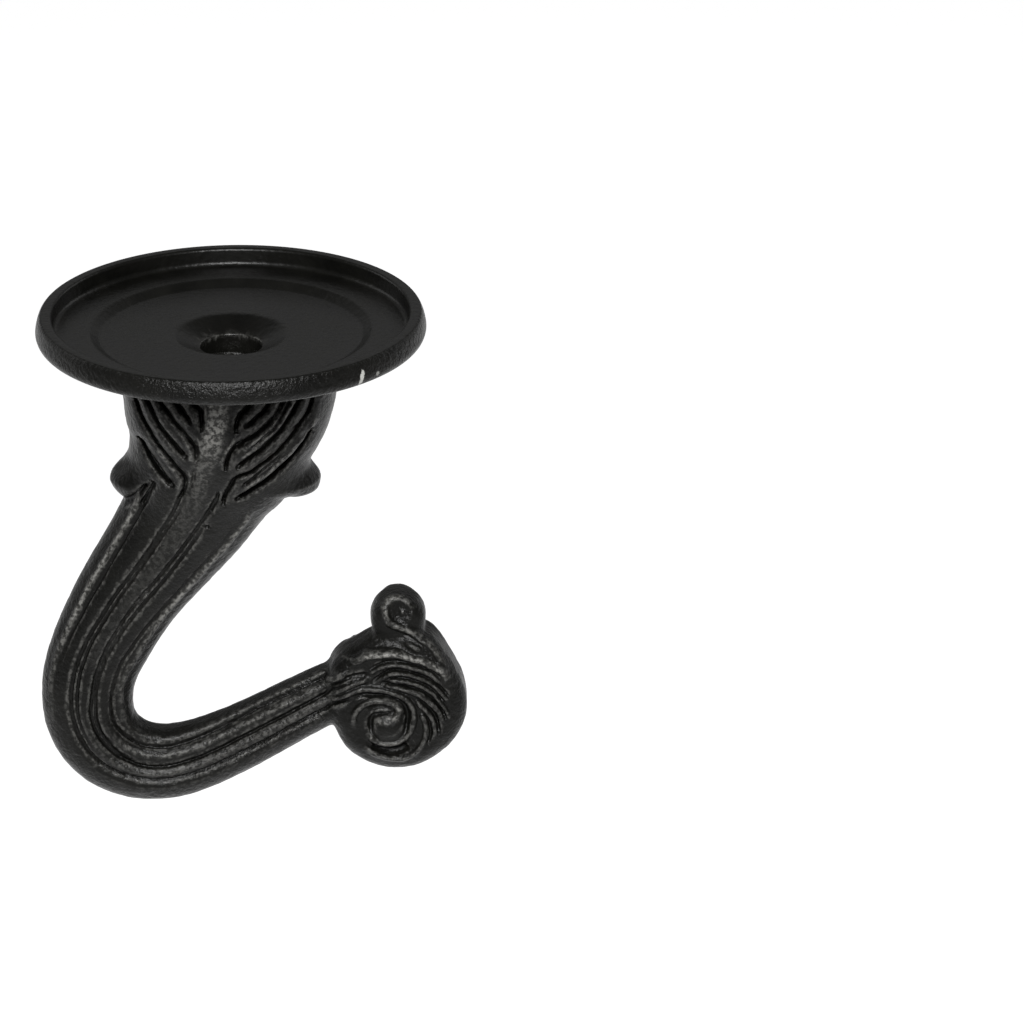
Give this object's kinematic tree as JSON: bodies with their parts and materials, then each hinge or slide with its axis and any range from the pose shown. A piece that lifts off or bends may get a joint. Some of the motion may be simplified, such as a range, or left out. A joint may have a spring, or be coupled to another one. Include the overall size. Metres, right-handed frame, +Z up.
{
  "type": "swag hook",
  "caption": "Ceiling swag hook: round dished canopy plate with a central threaded hole, leaf-cast neck and ribbed J arm ending in a scrolled tip, to hang a lamp or planter.",
  "frame": {"origin": "centre of the ceiling plane, the flat on top of the canopy rim", "axes": "+Z up out of the threaded hole towards the ceiling; the J lies in the X-Z plane and its tip points to +X"},
  "size_m": [0.0415, 0.038, 0.0506],
  "materials": {
    "black_paint": "semi-gloss black paint over a slightly rough casting"
  },
  "bodies": {
    "root": {"swag_hook": "black_paint"}
  },
  "joints": []
}
